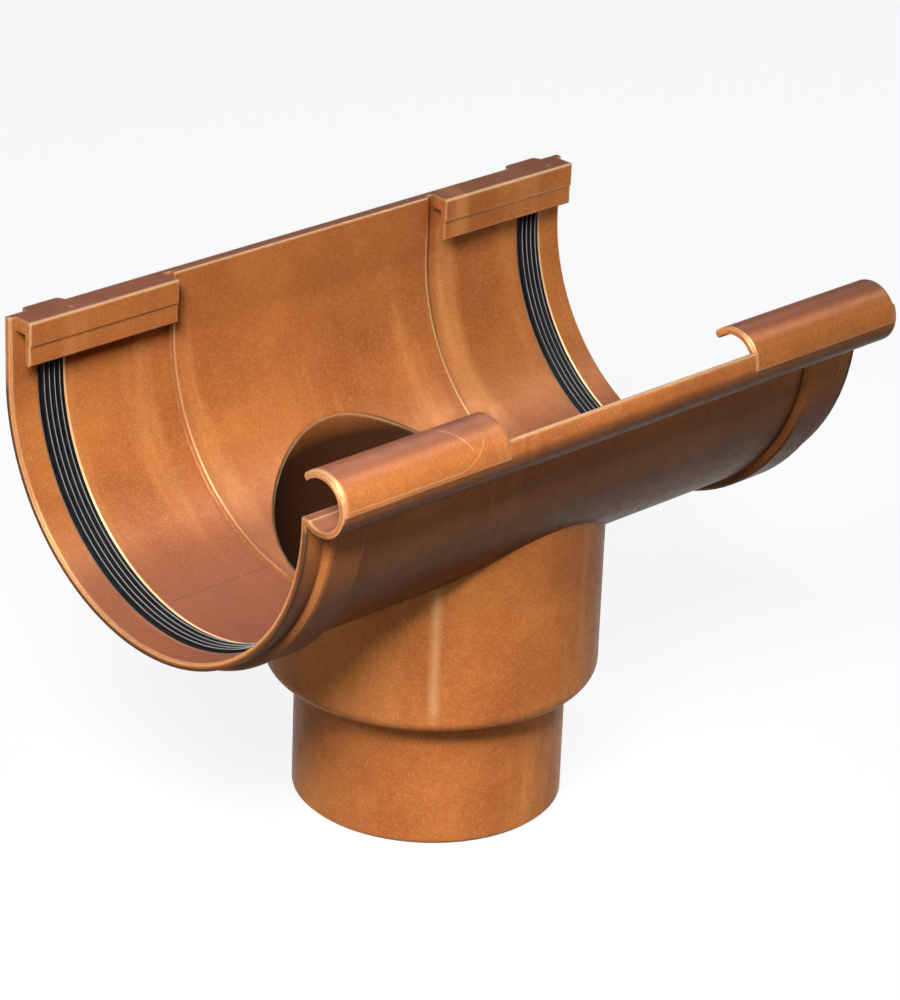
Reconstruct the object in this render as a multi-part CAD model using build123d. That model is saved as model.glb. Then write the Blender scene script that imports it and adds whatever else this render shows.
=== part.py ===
from build123d import *
import math
import os

# Half-round gutter outlet: one plastic moulding with a rubber seal in each end socket.
# Millimetres. The origin is the centre of the spigot's lower end, Z is up and X runs along the trough.
# The front, where the hooks are, faces -Y. The wall of the house is on the +Y side.

# Spigot for the downpipe, and the collar that joins it to the trough
spigot_diameter = 80.0
spigot_wall = 2.5
spigot_length = 39.5
spigot_lead_in = 0.8
shoulder_width = 9.25
collar_wall = 2.5
collar_corner_radius = 5.0
shoulder_thickness = 2.5

# Trough, with a socket at each end for a length of gutter
trough_length = 216.0
trough_axis_height = 137.5
trough_outer_radius = 62.3
socket_depth = 58.0
socket_wall = 2.2
socket_lead_in = 0.5
socket_lead_in_angle = 45.0
stop_step = 1.3
back_edge_rise = 18.5
front_edge_rise = 1.1

# Seals, with the grooves that they lie in and the raised housings round the grooves
groove_offset = 9.4
groove_width = 9.2
groove_depth = 2.4
groove_top_gap = 1.0
groove_front_gap = 3.0
housing_side_wall = 1.6
housing_outer_wall = 2.2
housing_flank = 1.0
housing_edge_chamfer = 0.6
seal_clearance = 0.1
seal_stand_out = 0.9
seal_rib_count = 4
seal_rib_width = 1.0
seal_rib_height = 0.8

# Channel along the front edge for the gutter's bead, and the hooks that close it over the sockets
bead_diameter = 14.0
bead_clearance = 0.3
channel_wall = 1.8
channel_sink = 1.3
channel_inset = 2.2
channel_front_angle = 150.0
channel_back_angle = 330.0
channel_edge_radius = 0.7
hook_length = 60.0
hook_ring = 1.2
hook_cover = 0.9
hook_cover_step = 0.5
hook_cover_radius = 0.8
hook_tip_angle = 44.0
hook_root_angle = 185.0
hook_tip_radius = 1.2
hook_end_chamfer = 0.5

# Flat clips along the back edge
clip_length = 53.5
clip_end_gap = 2.0
clip_web = 4.0
clip_slot = 4.2
clip_lip = 2.2
clip_lip_drop = 13.2
clip_band_height = 7.1
clip_band_proud = 0.4
clip_edge_radius = 0.5

# Sizes that follow from the ones above
collar_diameter = spigot_diameter + 2 * shoulder_width
half_length = trough_length / 2
back_top = trough_axis_height + back_edge_rise
front_top = trough_axis_height + front_edge_rise
socket_radius = trough_outer_radius - socket_wall
stop_radius = socket_radius - stop_step
groove_radius = socket_radius + groove_depth
housing_radius = groove_radius + housing_outer_wall
groove_middle = half_length - groove_offset - groove_width / 2
groove_back_top = back_top - clip_web - groove_top_gap
channel_radius = bead_diameter / 2 + bead_clearance
bead_y = channel_inset - trough_outer_radius - channel_radius
bead_z = front_top - channel_sink + channel_radius
over = 5.0


def along_trough(section, start, end):
    """Extrudes a section drawn in Y and Z from one place along X to another."""
    return extrude(Plane.YZ.offset(start) * section, amount=end - start)


def both_ends(piece):
    """Gives a piece of the right-hand end and its mirror image at the left-hand end."""
    return [piece, mirror(piece, about=Plane.YZ)]


def round_corner(face, corner, radius):
    """Rounds the corner of a flat profile that lies nearest to a given point."""
    return fillet(face.vertices().sort_by_distance(corner)[0], radius)


def bevel_corner(face, corner, length):
    """Bevels the corner of a flat profile that lies nearest to a given point."""
    return chamfer(face.vertices().sort_by_distance(corner)[0], length)


def half_round(radius, top):
    """Half-round section with upright sides, closed across the top at the given height."""
    axis = trough_axis_height
    back_side = Line((radius, top), (radius, axis))
    round_floor = ThreePointArc((radius, axis), (0, axis - radius), (-radius, axis))
    front_side = Line((-radius, axis), (-radius, top))
    lid = Line((-radius, top), (radius, top))
    return make_face([back_side, round_floor, front_side, lid])


def swept_band(profile, x, radius, back_end, front_gap):
    """Sweeps a profile of X and radius down the back wall and round the floor, to just short of the front."""
    axis = trough_axis_height
    middle = Vector(x, 0, axis)
    front_stop = Vector(0, -radius, 0).rotate(Axis.X, math.degrees(front_gap / radius))
    down = Line((x, radius, back_end), (x, radius, axis))
    around = ThreePointArc((x, radius, axis), (x, 0, axis - radius), middle + front_stop)
    return sweep(Plane.XY.offset(back_end) * profile, path=Wire([down, around]))


def make_outlet_outside():
    """Collar, shoulder and spigot as one turned form, up to the trough's axis."""
    spigot = spigot_diameter / 2
    collar = collar_diameter / 2
    profile = make_face(Polyline(
        (0, 0),
        (spigot, 0),
        (spigot, spigot_length),
        (collar, spigot_length),
        (collar, trough_axis_height),
        (0, trough_axis_height),
        close=True,
    ))
    profile = round_corner(profile, (collar, spigot_length), collar_corner_radius)
    profile = bevel_corner(profile, (spigot, 0), spigot_lead_in)
    return revolve(Plane.XZ * profile, axis=Axis.Z)


def make_outlet_bore():
    """Waterway: the collar's bore, open to the trough, and the spigot's bore below it."""
    spigot_bore = spigot_diameter / 2 - spigot_wall
    collar_bore = collar_diameter / 2 - collar_wall
    floor = spigot_length + shoulder_thickness
    profile = make_face(Polyline(
        (0, -over),
        (spigot_bore, -over),
        (spigot_bore, floor),
        (collar_bore, floor),
        (collar_bore, trough_axis_height),
        (0, trough_axis_height),
        close=True,
    ))
    return revolve(Plane.XZ * profile, axis=Axis.Z)


def make_trough_inside():
    """Space inside the trough: the middle, and at each end a wider socket with a flared rim."""
    sky = back_top + over
    stop = half_length - socket_depth
    rim = half_length - socket_lead_in
    middle = along_trough(half_round(stop_radius, sky), -half_length, half_length)
    socket = along_trough(half_round(socket_radius, sky), stop, half_length + over)
    rim_section = Plane.YZ.offset(rim) * half_round(socket_radius, sky)
    flare = extrude(rim_section, amount=half_length + over - rim, taper=-socket_lead_in_angle)
    return [middle, *both_ends(socket), *both_ends(flare)]


def make_housing():
    """Raised ring round the outside of a socket, with sloping flanks and bevelled edges."""
    half_crest = groove_width / 2 + housing_side_wall
    half_foot = half_crest + housing_flank
    foot = trough_outer_radius - socket_wall / 2
    profile = make_face(Polyline(
        (-half_foot, foot),
        (-half_foot, trough_outer_radius),
        (-half_crest, housing_radius),
        (half_crest, housing_radius),
        (half_foot, trough_outer_radius),
        (half_foot, foot),
        close=True,
    ))
    for side in (-half_crest, half_crest):
        profile = bevel_corner(profile, (side, housing_radius), housing_edge_chamfer)
    profile = Pos(groove_middle, 0) * profile
    return swept_band(profile, groove_middle, trough_outer_radius, back_top, 0)


def make_groove():
    """Groove for the seal, cut into the socket's wall and its housing."""
    inner = socket_radius - over
    middle = (inner + groove_radius) / 2
    profile = Pos(groove_middle, middle) * Rectangle(groove_width, groove_radius - inner)
    return swept_band(profile, groove_middle, socket_radius, groove_back_top, groove_front_gap)


def make_channel():
    """Bead channel over the whole length: floor and front wall, open at the top."""
    outer = channel_radius + channel_wall
    turn = channel_back_angle - channel_front_angle
    outside = CenterArc((0, 0), outer, channel_front_angle, turn)
    inside = CenterArc((0, 0), channel_radius, channel_front_angle, turn)
    section = make_face([outside, inside, Line(outside @ 0, inside @ 0), Line(outside @ 1, inside @ 1)])
    for corner in (outside @ 0, inside @ 0):
        section = round_corner(section, corner, channel_edge_radius)
    return along_trough(Pos(bead_y, bead_z) * section, -half_length, half_length)


def make_hook():
    """Round hook that rises from the channel's front wall and bends back over the bead."""
    start = half_length - hook_length
    cover_end = half_length - hook_cover_step
    ring = channel_radius + hook_ring
    outer = ring + hook_cover
    profile = make_face(Polyline(
        (start, channel_radius),
        (half_length, channel_radius),
        (half_length, ring),
        (cover_end, ring),
        (cover_end, outer),
        (start, outer),
        close=True,
    ))
    profile = round_corner(profile, (cover_end, outer), hook_cover_radius)
    profile = bevel_corner(profile, (start, outer), hook_end_chamfer)
    shell = revolve(profile, axis=Axis.X, revolution_arc=hook_root_angle - hook_tip_angle)

    # The tip is a round bead along the hook's free edge.
    tip = Pos(start, (channel_radius + outer) / 2, 0) * Rot(0, 90, 0) * Cylinder(
        hook_tip_radius, cover_end - start, align=(Align.CENTER, Align.CENTER, Align.MIN)
    )
    tip = chamfer(tip.edges().filter_by(GeomType.CIRCLE), hook_end_chamfer)
    return Pos(0, bead_y, bead_z) * Rot(hook_tip_angle, 0, 0) * (shell + tip)


def make_clip():
    """Flat clip: a web level with the back edge and a lip that hangs in front of the slot."""
    lip_back = socket_radius - clip_slot
    band_face = lip_back - clip_lip
    lower_face = band_face + clip_band_proud
    lip_end = back_top - clip_lip_drop
    band_end = back_top - clip_band_height
    slot_top = back_top - clip_web
    wall_middle = trough_outer_radius - socket_wall / 2
    section = make_face(Polyline(
        (wall_middle, back_top),
        (band_face, back_top),
        (band_face, band_end),
        (lower_face, band_end),
        (lower_face, lip_end),
        (lip_back, lip_end),
        (lip_back, slot_top),
        (wall_middle, slot_top),
        close=True,
    ))
    for corner in ((band_face, back_top), (lower_face, lip_end), (lip_back, lip_end)):
        section = round_corner(section, corner, clip_edge_radius)
    start = half_length - clip_end_gap - clip_length
    return along_trough(section, start, start + clip_length)


def make_body():
    """The whole moulding."""
    body = along_trough(half_round(trough_outer_radius, back_top), -half_length, half_length)
    for housing in both_ends(make_housing()):
        body += housing
    body += make_outlet_outside()
    body += make_channel()

    # The front wall and the channel's inner side end at the front edge.
    front_height = back_top + over - front_top
    front_space = Pos(0, bead_y / 2, front_top + front_height / 2) * Box(
        trough_length + over, abs(bead_y), front_height
    )
    body -= front_space
    for space in make_trough_inside():
        body -= space
    bead_space = Pos(bead_y, bead_z) * Circle(channel_radius)
    body -= along_trough(bead_space, -half_length - over, half_length + over)
    for groove in both_ends(make_groove()):
        body -= groove

    for piece in both_ends(make_hook()) + both_ends(make_clip()):
        body += piece
    body -= make_outlet_bore()
    return body


def make_seal():
    """Rubber strip that fills the groove, with thin ribs standing out towards the gutter."""
    half_width = groove_width / 2 - seal_clearance
    back_face = groove_radius - seal_clearance
    crest = socket_radius - seal_stand_out
    face = crest + seal_rib_height
    pitch = groove_width / (seal_rib_count + 1)
    points = [(-half_width, back_face), (-half_width, face)]
    for number in range(seal_rib_count):
        middle = (number - (seal_rib_count - 1) / 2) * pitch
        points += [
            (middle - seal_rib_width / 2, face),
            (middle, crest),
            (middle + seal_rib_width / 2, face),
        ]
    points += [(half_width, face), (half_width, back_face)]
    profile = Pos(groove_middle, 0) * make_face(Polyline(*points, close=True))
    back_end = groove_back_top - seal_clearance
    front_gap = groove_front_gap + seal_clearance
    return swept_band(profile, groove_middle, socket_radius, back_end, front_gap)


os.makedirs("parts", exist_ok=True)
outlet_body = make_body()
seal_right, seal_left = both_ends(make_seal())
export_step(outlet_body, "parts/outlet_body.step")
export_step(seal_left, "parts/seal_left.step")
export_step(seal_right, "parts/seal_right.step")
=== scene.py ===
import math

import bpy
from mathutils import Matrix, Vector

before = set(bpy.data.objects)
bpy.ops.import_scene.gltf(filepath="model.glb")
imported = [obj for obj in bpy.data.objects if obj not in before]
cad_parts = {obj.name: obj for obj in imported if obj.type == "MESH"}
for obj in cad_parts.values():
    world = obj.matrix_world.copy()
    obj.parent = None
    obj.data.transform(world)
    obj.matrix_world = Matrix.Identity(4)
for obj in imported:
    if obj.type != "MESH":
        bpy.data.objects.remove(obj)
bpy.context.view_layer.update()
print("frame loaded with", ", ".join(sorted(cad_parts)))


# Small helpers for node trees

def startMaterial(name):
    material = bpy.data.materials.new(name)
    material.use_nodes = True
    tree = material.node_tree
    tree.nodes.clear()
    return material, tree


def endMaterial(tree, surface):
    output = addNode(tree, "OutputMaterial")
    tree.links.new(surface, output.inputs["Surface"])


def addNode(tree, kind, **settings):
    node = tree.nodes.new("ShaderNode" + kind)
    for key, value in settings.items():
        setattr(node, key, value)
    return node


def setInput(tree, socket, value):
    # a socket as value makes a link, anything else is set on the input itself
    if isinstance(value, bpy.types.NodeSocket):
        tree.links.new(value, socket)
    else:
        socket.default_value = value


def feed(tree, node, **inputs):
    for key, value in inputs.items():
        setInput(tree, node.inputs[key.replace("_", " ")], value)


def doMath(tree, operation, *values):
    node = addNode(tree, "Math", operation=operation)
    for number, value in enumerate(values):
        setInput(tree, node.inputs[number], value)
    return node.outputs[0]


def product(tree, first, *others):
    for other in others:
        first = doMath(tree, "MULTIPLY", first, other)
    return first


def strongest(tree, first, *others):
    for other in others:
        first = doMath(tree, "MAXIMUM", first, other)
    return first


def stretch(tree, value, low, high, newLow=0.0, newHigh=1.0):
    node = addNode(tree, "MapRange", clamp=True)
    feed(tree, node, Value=value, From_Min=low, From_Max=high, To_Min=newLow, To_Max=newHigh)
    return node.outputs["Result"]


def insideOf(tree, value, limits, soft):
    # 1 between two limits, 0 outside them, with soft ends
    low, high = limits
    return product(tree, stretch(tree, value, low - soft, low + soft),
                   stretch(tree, value, high - soft, high + soft, 1.0, 0.0))


def distanceFrom(tree, first, firstPlace, second, secondPlace):
    a = doMath(tree, "SUBTRACT", first, firstPlace)
    b = doMath(tree, "SUBTRACT", second, secondPlace)
    squares = doMath(tree, "ADD", product(tree, a, a), product(tree, b, b))
    return doMath(tree, "SQRT", squares)


def splitUp(tree, vector):
    node = addNode(tree, "SeparateXYZ")
    tree.links.new(vector, node.inputs[0])
    return node.outputs


def noise(tree, place, scale, detail=3.0, roughness=0.55):
    node = addNode(tree, "TexNoise", noise_dimensions="3D")
    feed(tree, node, Vector=place, Scale=scale, Detail=detail, Roughness=roughness)
    return node.outputs["Fac"]


def blendColours(tree, share, first, second):
    node = addNode(tree, "Mix", data_type="RGBA")
    for number, value in ((0, share), (6, first), (7, second)):     # the colour sockets are 6 and 7
        setInput(tree, node.inputs[number], value)
    return node.outputs[2]


def paint(red, green, blue):
    # screen colour, 0 to 255, to the linear colour that nodes use
    def linear(value):
        value /= 255
        return value / 12.92 if value <= 0.04045 else ((value + 0.055) / 1.055) ** 2.4
    return (linear(red), linear(green), linear(blue), 1.0)


# Copper-coloured plastic of the moulding

copperLook = {
    "gold": paint(210, 131, 66),
    "base": paint(186, 109, 54),
    "brown": paint(148, 82, 43),
    "edge": paint(255, 214, 162),               # painted highlight on rounded edges that catch the light
    # pale smears along the streaks, partly painted reflection
    "smearAndSheen": paint(232, 160, 94),
    "dust": paint(112, 71, 64),                 # painted reflection of a cool sky and painted shade, on what faces up
    "underShade": paint(66, 40, 31),                 # painted shade under the trough
    # painted shade in crevices and on the outer corners of the ends; also the dark flakes and the floor
    # line
    "crevice": paint(62, 36, 26),
    "boreShade": paint(48, 30, 23),              # painted shade inside the collar and the spigot
    "cloudScale": 22.0,
    "streakScale": (60.0, 9.0, 9.0),            # fine along the trough, long around it
    "streakTurn": (0.0, 0.0, 0.06),
    "mottleScale": 280.0,
    "flakeScale": 2400.0,
    "goldClouds": (0.33, 0.67),                 # parts of a pattern's range that a colour takes up
    "baseStreaks": (0.30, 0.70),
    "smearAndSheenStreaks": (0.54, 0.74),
    "brownMottle": (0.42, 0.72),
    "brightFlakes": (0.60, 1.0),
    "darkFlakes": (0.35, 0.0),
    "skyTintClouds": (0.2, 0.6),
    "roughMottle": (0.3, 0.7),
    "baseShare": (0.25, 0.75),                  # how much of a colour is laid on
    "smearAndSheenShare": 0.55,
    "mottleShare": 0.16,
    "flakeShare": 0.10,
    "dustShare": 0.85,
    "underShadeShare": 0.8,
    "boreShadeShare": 0.92,
    "creviceShare": 0.85,
    "endCornerShare": 0.85,
    "floorLineShare": 0.4,
    "skyTintFacing": (0.52, 0.98),                 # upward part of the surface's direction
    "underShadeFacing": (0.05, -0.45),
    "edgeFacing": (-0.45, -0.05),
    "edgeTurn": (0.99, 0.88),                   # how far a rounded edge has turned
    "edgeOpen": (0.50, 0.75),
    "creviceOpen": (0.60, 0.20),
    "roughness": 0.36,
    "roughnessSpan": 0.07,
    "metallic": 0.22,
    "edgeMetallic": 0.60,
    "gloss": 0.025,
    "glossTint": (1.0, 0.90, 0.80, 1.0),
    "edgeRadius": 0.0012,
    "creviceDepth": 0.004,
    "bumpStrength": 0.15,
    "bumpDistance": 0.00015,
    "flakeHeight": 0.15,                        # heights in the bump, the mottling being 1
    "lineHeight": 2.0,
    "floorLineHeight": -1.0,
}

# Places on the moulding that its finish follows, in metres; pairs are limits
bodyPlaces = {
    "troughAxis": 0.1375,                       # height of the half-round's centre
    "socketFace": (0.0590, 0.0608),             # radius at a socket's inner face
    "grooveRimFace": (0.0590, 0.0607),
    "stopFace": (0.0580, 0.0592),
    "endCorner": (0.0609, 0.0616),              # radius where the outer corner of an end begins
    "endReach": (0.1066, 0.1074),
    "endTop": (0.1380, 0.1340),
    "underTrough": (0.0740, 0.0800),            # heights between which the painted shade under the trough begins
    "spigotBore": 0.0385,                       # radius that takes in the bore's wall
    "collarBoreExtra": 0.0089,
    "boreStep": (0.0410, 0.0416),
    "boreMouth": (0.0940, 0.1040),              # heights between which the painted shade in the bore ends
    "collarWall": (0.0478, 0.0506),
    "collarStart": (0.0500, 0.0520),
    "wallSoft": 0.0002,
}

# Fine lines left by the mould and by use, in metres; pairs are limits
lineSizes = {
    "floorAcross": (0.01565, 0.01595),          # witness line on the floor of each socket
    "floorAlong": (0.0500, 0.0865),
    "beadCentre": (-0.0674, 0.1446),            # y and z of the bead channel's axis
    "hookFace": (0.0090, 0.0100),               # radius at the hook's outer face
    "hookAlong": (-0.1060, -0.0485),
    "turnAlong": (0.0560, 0.0680),              # where the root line turns up
    "turnRise": 0.0062,
    "rootHeight": (0.0004, 0.0007),
    "rootEnd": (0.0560, 0.0566),
    "rootFront": (-0.0700, -0.0690),
    "slantLean": -0.65,
    "slantPlace": (0.1100, 0.1103),
    "slantStart": (0.0040, 0.0060),
    "weldShare": 0.3,
    "grooveRimLeft": (-0.0894, -0.0886),
    "grooveRimRight": (0.0986, 0.0994),
    "grooveRimHeight": (0.1500, 0.1100),
    "grooveRimShare": (0.25, 0.9),
    "stopRight": (0.0493, 0.0501),
    "stopHeight": (0.1450, 0.1000),
    "stopShare": (0.30, 0.65),
    "glintAzimuth": -43.0,                       # degrees round the collar
    "glintHalf": (0.0002, 0.0022),
    "glintShare": 0.28,
    "glintHeight": (0.0450, 0.0860),
    "glintFront": (-0.0200, -0.0210),
    "rimSoft": 0.0001,                          # widths of the soft ends
    "lineSoft": 0.0002,
    "broadSoft": 0.0003,
    "endSoft": 0.0006,
    "glintSoft": 0.0030,
}


def makeFloorLine(tree, y, fromMiddle, fromAxis):
    return product(tree, insideOf(tree, y, lineSizes["floorAcross"], lineSizes["lineSoft"]),
                   insideOf(tree, fromMiddle, lineSizes["floorAlong"], lineSizes["endSoft"]),
                   insideOf(tree, fromAxis, bodyPlaces["socketFace"], lineSizes["broadSoft"]))


def makeHookWelds(tree, x, y, z, fromMiddle):
    # left hook only: one line along the root that turns up, one slanting over the top
    beadY, beadZ = lineSizes["beadCentre"]
    fromBead = distanceFrom(tree, y, beadY, z, beadZ)
    onHook = product(tree, insideOf(tree, fromBead, lineSizes["hookFace"], lineSizes["lineSoft"]),
                     insideOf(tree, x, lineSizes["hookAlong"], lineSizes["endSoft"]))
    height = doMath(tree, "SUBTRACT", z, beadZ)
    turnUp = stretch(tree, fromMiddle, *lineSizes["turnAlong"], 1.0, 0.0)
    turnUp = product(tree, turnUp, turnUp, lineSizes["turnRise"])
    aboveRoot = doMath(tree, "SUBTRACT", height, turnUp)
    rootLine = product(tree, insideOf(tree, aboveRoot, lineSizes["rootHeight"], lineSizes["lineSoft"]),
                       stretch(tree, fromMiddle, *lineSizes["rootEnd"]),
                       stretch(tree, y, *lineSizes["rootFront"], 1.0, 0.0))
    slant = doMath(tree, "ADD", fromMiddle, product(tree, y, lineSizes["slantLean"]))
    slantLine = product(tree, insideOf(tree, slant, lineSizes["slantPlace"], lineSizes["broadSoft"]),
                        stretch(tree, height, *lineSizes["slantStart"]))
    return product(tree, onHook, strongest(tree, rootLine, slantLine), lineSizes["weldShare"])


def makePaintedRimHighlights(tree, x, z, fromAxis):
    # painted highlights on the rims of the seal grooves and on the corner of the right stop
    rimSoft, wallSoft = lineSizes["rimSoft"], bodyPlaces["wallSoft"]
    grooveRims = strongest(tree, insideOf(tree, x, lineSizes["grooveRimLeft"], rimSoft),
                           insideOf(tree, x, lineSizes["grooveRimRight"], rimSoft))
    grooveRims = product(tree, grooveRims, insideOf(tree, fromAxis, bodyPlaces["grooveRimFace"], wallSoft),
                         stretch(tree, z, *lineSizes["grooveRimHeight"], *lineSizes["grooveRimShare"]))
    stopCorner = product(tree, insideOf(tree, x, lineSizes["stopRight"], rimSoft),
                         insideOf(tree, fromAxis, bodyPlaces["stopFace"], wallSoft),
                         stretch(tree, z, *lineSizes["stopHeight"], *lineSizes["stopShare"]))
    return strongest(tree, grooveRims, stopCorner)


def makePaintedCollarGlint(tree, x, y, z):
    # painted reflection: a pale line down the front of the collar
    azimuth = math.radians(lineSizes["glintAzimuth"])
    across = doMath(tree, "ADD", product(tree, x, math.cos(azimuth)), product(tree, y, math.sin(azimuth)))
    across = doMath(tree, "ABSOLUTE", across)
    return product(tree, stretch(tree, across, *lineSizes["glintHalf"], lineSizes["glintShare"], 0.0),
                   insideOf(tree, z, lineSizes["glintHeight"], lineSizes["glintSoft"]),
                   stretch(tree, y, *lineSizes["glintFront"]))


def makeCopperPlastic():
    look, body = copperLook, bodyPlaces
    material, tree = startMaterial("copper_plastic_satin")
    place = addNode(tree, "TexCoord").outputs["Object"]
    x, y, z = splitUp(tree, place)
    fromMiddle = doMath(tree, "ABSOLUTE", x)
    fromAxis = distanceFrom(tree, y, 0.0, z, body["troughAxis"])
    fromCentre = distanceFrom(tree, x, 0.0, y, 0.0)

    # slow clouds, streaks that follow the flow of the plastic with pale smears along them that are partly
    # painted reflection, small mottling and metallic flakes
    clouds = noise(tree, place, look["cloudScale"])
    along = addNode(tree, "Mapping")
    feed(tree, along, Vector=place, Scale=look["streakScale"], Rotation=look["streakTurn"])
    streaks = noise(tree, along.outputs[0], 1.0, detail=4.0)
    mottle = noise(tree, place, look["mottleScale"], detail=4.0, roughness=0.6)
    cells = addNode(tree, "TexVoronoi", feature="F1")
    feed(tree, cells, Vector=place, Scale=look["flakeScale"])
    cellColour = addNode(tree, "SeparateColor")
    tree.links.new(cells.outputs["Color"], cellColour.inputs[0])
    flake = cellColour.outputs[0]

    colour = blendColours(tree, stretch(tree, clouds, *look["goldClouds"]), look["brown"], look["gold"])
    for pattern, span, share, layer in (
        (streaks, look["baseStreaks"], look["baseShare"], look["base"]),
        (streaks, look["smearAndSheenStreaks"], (0.0, look["smearAndSheenShare"]), look["smearAndSheen"]),
        (mottle, look["brownMottle"], (0.0, look["mottleShare"]), look["brown"]),
        (flake, look["brightFlakes"], (0.0, look["flakeShare"]), look["edge"]),
        (flake, look["darkFlakes"], (0.0, look["flakeShare"]), look["crevice"]),
    ):
        colour = blendColours(tree, stretch(tree, pattern, *span, *share), colour, layer)

    # painted reflection of a cool sky and painted shade on what faces up, painted shade under the trough
    normal = addNode(tree, "NewGeometry").outputs["Normal"]
    upward = splitUp(tree, normal)[2]
    dusty = product(tree, stretch(tree, upward, *look["skyTintFacing"], 0.0, look["dustShare"]),
                    stretch(tree, clouds, *look["skyTintClouds"], 0.5, 1.0))
    colour = blendColours(tree, dusty, colour, look["dust"])
    # painted shade under the trough, on what faces down
    underShaded = product(tree, stretch(tree, upward, *look["underShadeFacing"]),
                    stretch(tree, z, *body["underTrough"], 0.0, look["underShadeShare"]))
    colour = blendColours(tree, underShaded, colour, look["underShade"])

    # painted shade inside the collar and the spigot
    widening = stretch(tree, z, *body["boreStep"], 0.0, body["collarBoreExtra"])
    bore = doMath(tree, "ADD", body["spigotBore"], widening)
    fromBore = doMath(tree, "SUBTRACT", fromCentre, bore)
    inBore = stretch(tree, fromBore, -body["wallSoft"], body["wallSoft"], 1.0, 0.0)
    inBore = product(tree, inBore, stretch(tree, z, *body["boreMouth"], look["boreShadeShare"], 0.0))
    colour = blendColours(tree, inBore, colour, look["boreShade"])

    # painted highlight where the rounded edges turn, but not in hollows, underneath or on the collar's
    # wall
    soft = addNode(tree, "Bevel", samples=2)
    feed(tree, soft, Radius=look["edgeRadius"])
    facing = addNode(tree, "VectorMath", operation="DOT_PRODUCT")
    tree.links.new(soft.outputs[0], facing.inputs[0])
    tree.links.new(normal, facing.inputs[1])
    near = addNode(tree, "AmbientOcclusion", samples=2, only_local=True)
    feed(tree, near, Distance=look["creviceDepth"])
    openness = near.outputs["AO"]
    onCollar = product(tree, insideOf(tree, fromCentre, body["collarWall"], body["wallSoft"]),
                       stretch(tree, z, *body["collarStart"]))
    endCorner = product(tree, stretch(tree, z, *body["endTop"]),
                        stretch(tree, fromAxis, *body["endCorner"]))
    edge = product(tree, stretch(tree, facing.outputs["Value"], *look["edgeTurn"]),
                   stretch(tree, openness, *look["edgeOpen"]), stretch(tree, upward, *look["edgeFacing"]),
                   doMath(tree, "SUBTRACT", 1.0, onCollar),
                   doMath(tree, "MULTIPLY_ADD", endCorner, -look["endCornerShare"], 1.0))

    # painted shade on the outer corners of the ends and in crevices, and the fine lines
    endCorner = product(tree, endCorner,
                        stretch(tree, fromMiddle, *body["endReach"], 0.0, look["endCornerShare"]))
    colour = blendColours(tree, endCorner, colour, look["crevice"])
    floorLine = makeFloorLine(tree, y, fromMiddle, fromAxis)
    colour = blendColours(tree, product(tree, floorLine, look["floorLineShare"]), colour, look["crevice"])
    hollow = stretch(tree, openness, *look["creviceOpen"], 0.0, look["creviceShare"])
    colour = blendColours(tree, hollow, colour, look["crevice"])
    lines = strongest(tree, makeHookWelds(tree, x, y, z, fromMiddle),
                      makePaintedRimHighlights(tree, x, z, fromAxis), makePaintedCollarGlint(tree, x, y, z))
    colour = blendColours(tree, strongest(tree, edge, lines), colour, look["edge"])

    height = mottle
    for pattern, rise in ((flake, look["flakeHeight"]), (lines, look["lineHeight"]),
                          (floorLine, look["floorLineHeight"])):
        height = doMath(tree, "MULTIPLY_ADD", pattern, rise, height)
    bump = addNode(tree, "Bump")
    feed(tree, bump, Strength=look["bumpStrength"], Distance=look["bumpDistance"], Height=height,
         Normal=soft.outputs[0])

    metallic = stretch(tree, edge, 0.0, 1.0, look["metallic"], look["edgeMetallic"])
    roughness = stretch(tree, mottle, *look["roughMottle"], look["roughness"] - look["roughnessSpan"],
                        look["roughness"] + look["roughnessSpan"])
    shader = addNode(tree, "BsdfPrincipled")
    feed(tree, shader, Base_Color=colour, Roughness=roughness, Normal=bump.outputs["Normal"],
         Metallic=metallic, Specular_IOR_Level=look["gloss"], Specular_Tint=look["glossTint"])
    endMaterial(tree, shader.outputs["BSDF"])
    return material


# Black rubber of the seals

rubberLook = {
    "base": paint(11, 10, 11),
    "dusty": paint(30, 29, 31),
    "crest": paint(150, 150, 152),              # painted highlight on the tops of the ribs
    "dustScale": 320.0,
    "patchScale": 60.0,
    "dustRange": (0.45, 0.8),
    "dustShare": 0.5,
    "patchRange": (0.25, 0.6),
    "crestShare": (0.55, 1.0),
    "roughRange": (0.3, 0.7),
    "roughness": 0.5,
    "roughnessSpan": 0.08,
    "gloss": 0.18,
    "bumpStrength": 0.15,
    "bumpDistance": 0.0002,
    "middle": 0.094,                            # distance of a seal's middle from the part's middle
    "pitch": 0.00184,
    "crestHalf": (0.000066, 0.000165),          # where a crest starts and ends to fade
}


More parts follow.
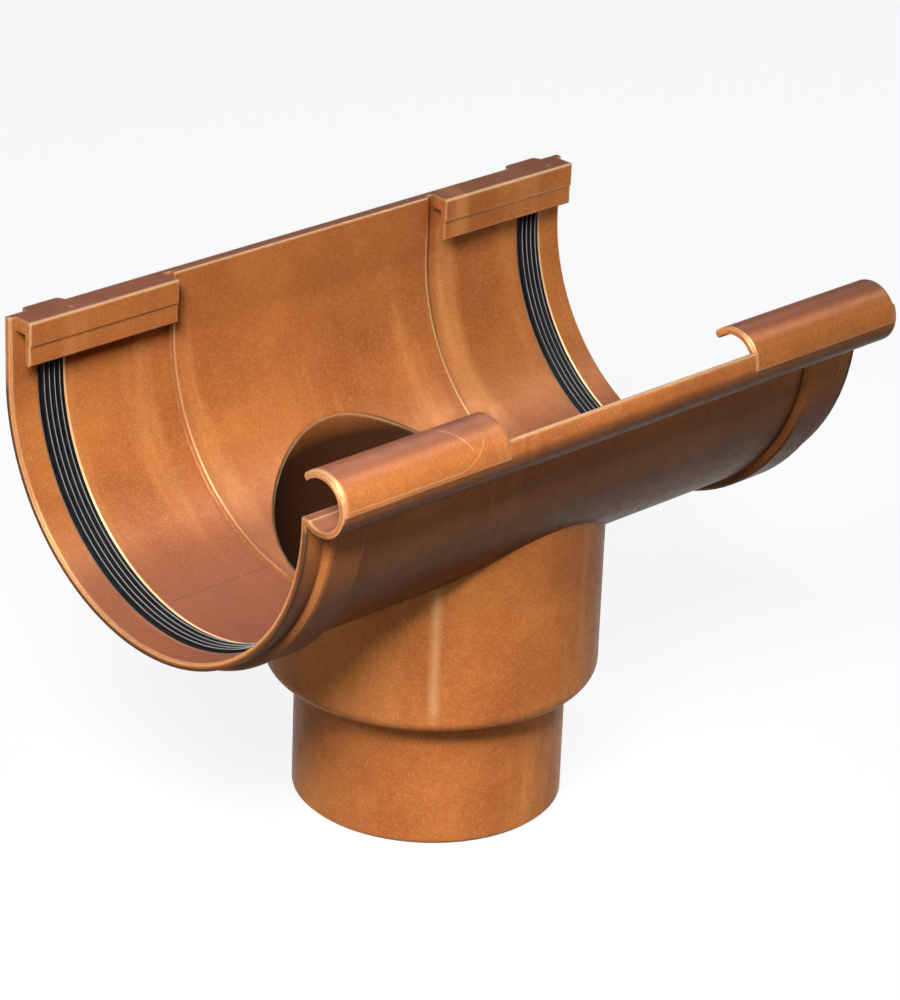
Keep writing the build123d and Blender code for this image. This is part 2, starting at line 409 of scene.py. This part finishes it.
def makeRubber():
    look = rubberLook
    material, tree = startMaterial("black_rubber_ribbed")
    place = addNode(tree, "TexCoord").outputs["Object"]
    fromMiddle = doMath(tree, "ABSOLUTE", splitUp(tree, place)[0])
    dust = noise(tree, place, look["dustScale"], detail=4.0)
    patches = noise(tree, place, look["patchScale"], detail=2.0)
    dusty = stretch(tree, dust, *look["dustRange"], 0.0, look["dustShare"])
    colour = blendColours(tree, dusty, look["base"], look["dusty"])

    # painted highlights on the crests, counted in rib pitches from the seal's middle; the 10 keeps the
    # count above zero
    across = doMath(tree, "SUBTRACT", fromMiddle, look["middle"])
    ribCount = doMath(tree, "ADD", doMath(tree, "DIVIDE", across, look["pitch"]), 10.0)
    fromCrest = doMath(tree, "SUBTRACT", doMath(tree, "FRACT", ribCount), 0.5)
    fromCrest = product(tree, doMath(tree, "ABSOLUTE", fromCrest), look["pitch"])
    crest = stretch(tree, fromCrest, *look["crestHalf"], 1.0, 0.0)
    crest = product(tree, crest, stretch(tree, patches, *look["patchRange"], *look["crestShare"]))
    colour = blendColours(tree, crest, colour, look["crest"])

    bump = addNode(tree, "Bump")
    feed(tree, bump, Strength=look["bumpStrength"], Distance=look["bumpDistance"], Height=dust)
    roughness = stretch(tree, dust, *look["roughRange"], look["roughness"] - look["roughnessSpan"],
                        look["roughness"] + look["roughnessSpan"])
    shader = addNode(tree, "BsdfPrincipled")
    feed(tree, shader, Base_Color=colour, Roughness=roughness, Normal=bump.outputs["Normal"],
         Specular_IOR_Level=look["gloss"])
    endMaterial(tree, shader.outputs["BSDF"])
    return material


copperPlastic = makeCopperPlastic()
rubber = makeRubber()
for nodeName, material in (("outlet_body", copperPlastic), ("seal_left", rubber), ("seal_right", rubber)):
    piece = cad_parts[nodeName]
    for slot in piece.material_slots:
        slot.material = material
print("materials made: copper plastic and black rubber")


# Camera at the photograph's viewing angle, for a picture of 900 by 1000

cameraSetup = {
    "target": (0.0, 0.0, 0.090),
    "azimuth": -44.572,
    "elevation": 24.380,
    "roll": 2.184,
    "distance": 1.16796,
    "lens": 161.435,
    "sensor": 36.0,
    "shift": (0.0155, 0.0048),
    "clip": (0.05, 50.0),
}


def directionOf(azimuth, elevation):
    # from the object towards a camera or lamp; azimuth 0 is the front
    turn, rise = math.radians(azimuth), math.radians(elevation)
    return Vector((math.sin(turn) * math.cos(rise), -math.cos(turn) * math.cos(rise), math.sin(rise)))


def makeCamera():
    azimuth, roll = math.radians(cameraSetup["azimuth"]), math.radians(cameraSetup["roll"])
    back = directionOf(cameraSetup["azimuth"], cameraSetup["elevation"])
    level = Vector((math.cos(azimuth), math.sin(azimuth), 0.0))
    upright = back.cross(level)
    right = level * math.cos(roll) + upright * math.sin(roll)
    up = upright * math.cos(roll) - level * math.sin(roll)
    data = bpy.data.cameras.new("camera")
    data.sensor_fit = "HORIZONTAL"
    data.sensor_width = cameraSetup["sensor"]
    data.lens = cameraSetup["lens"]
    data.shift_x, data.shift_y = cameraSetup["shift"]
    data.clip_start, data.clip_end = cameraSetup["clip"]
    camera = bpy.data.objects.new("camera", data)
    spot = Vector(cameraSetup["target"]) + back * cameraSetup["distance"]
    turn = Matrix((right, up, back)).transposed()
    camera.matrix_world = Matrix.Translation(spot) @ turn.to_4x4()
    bpy.context.collection.objects.link(camera)
    bpy.context.scene.camera = camera


makeCamera()
print("camera set")


# Studio: pale floor, soft lamps and a dim room

studio = {
    "floorSize": 8.0,
    "floorDrop": 0.0003,                        # keeps the floor clear of the spigot's lower end
    "floorColour": (0.85, 0.85, 0.85, 1.0),
    "floorBounce": (0.03, 0.03, 0.03, 1.0),     # what the floor throws back on the object's underside
    "floorWhite": 0.88,                         # share of plain white that is seen in the floor
    "roomColour": (0.90, 0.95, 1.0, 1.0),
    "roomStrength": 0.03,
    # name: azimuth, elevation, distance, size, spread, watts, colour, what it aims at
    "lamps": {
        "main_front": (-60.0, 40.0, 0.75, 0.26, 180.0, 9.2, (1.0, 0.97, 0.93), (0.0, 0.0, 0.09)),
        "spigot_front": (-38.0, 46.0, 0.90, 0.20, 12.0, 0.06, (1.0, 0.97, 0.93), (0.0, 0.0, 0.015)),
        "sheen_right": (70.0, 48.0, 1.2, 0.35, 180.0, 3.8, (0.78, 0.91, 1.0), (0.0, 0.0, 0.09)),
        "back_cool": (130.0, 42.0, 1.4, 0.60, 180.0, 3.0, (0.60, 0.80, 1.0), (0.0, 0.0, 0.09)),
    },
}


def makeFloor():
    half = studio["floorSize"] / 2
    corners = [(-half, -half, 0), (half, -half, 0), (half, half, 0), (-half, half, 0)]
    mesh = bpy.data.meshes.new("floor")
    mesh.from_pydata(corners, [], [(0, 1, 2, 3)])
    floor = bpy.data.objects.new("floor", mesh)
    floor.location.z = -studio["floorDrop"]
    bpy.context.collection.objects.link(floor)

    material, tree = startMaterial("floor_pale")
    path = addNode(tree, "LightPath").outputs
    seen = strongest(tree, path["Is Camera Ray"], path["Is Glossy Ray"], path["Is Transmission Ray"])
    matt = addNode(tree, "BsdfDiffuse")
    feed(tree, matt, Color=blendColours(tree, seen, studio["floorBounce"], studio["floorColour"]))
    white = addNode(tree, "Emission")
    feed(tree, white, Color=(1.0, 1.0, 1.0, 1.0), Strength=1.0)
    mix = addNode(tree, "MixShader")
    tree.links.new(product(tree, seen, studio["floorWhite"]), mix.inputs[0])
    tree.links.new(matt.outputs[0], mix.inputs[1])
    tree.links.new(white.outputs[0], mix.inputs[2])
    endMaterial(tree, mix.outputs[0])
    mesh.materials.append(material)


def makeRoom():
    world = bpy.data.worlds.new("room")
    world.use_nodes = True
    sky = world.node_tree.nodes["Background"]
    sky.inputs["Color"].default_value = studio["roomColour"]
    sky.inputs["Strength"].default_value = studio["roomStrength"]
    bpy.context.scene.world = world


def makeLamps():
    for name, settings in studio["lamps"].items():
        azimuth, elevation, distance, size, spread, watts, colour, aim = settings
        data = bpy.data.lights.new(name, "AREA")
        data.shape, data.size = "DISK", size
        data.spread = math.radians(spread)
        data.energy, data.color = watts, colour
        back = directionOf(azimuth, elevation)
        lamp = bpy.data.objects.new(name, data)
        lamp.location = Vector(aim) + back * distance
        lamp.rotation_mode = "QUATERNION"
        lamp.rotation_quaternion = (-back).to_track_quat("-Z", "Y")
        bpy.context.collection.objects.link(lamp)


makeFloor()
makeRoom()
makeLamps()
bpy.context.scene.view_settings.view_transform = "Standard"
print("studio set: floor, room and", len(studio["lamps"]), "lamps")
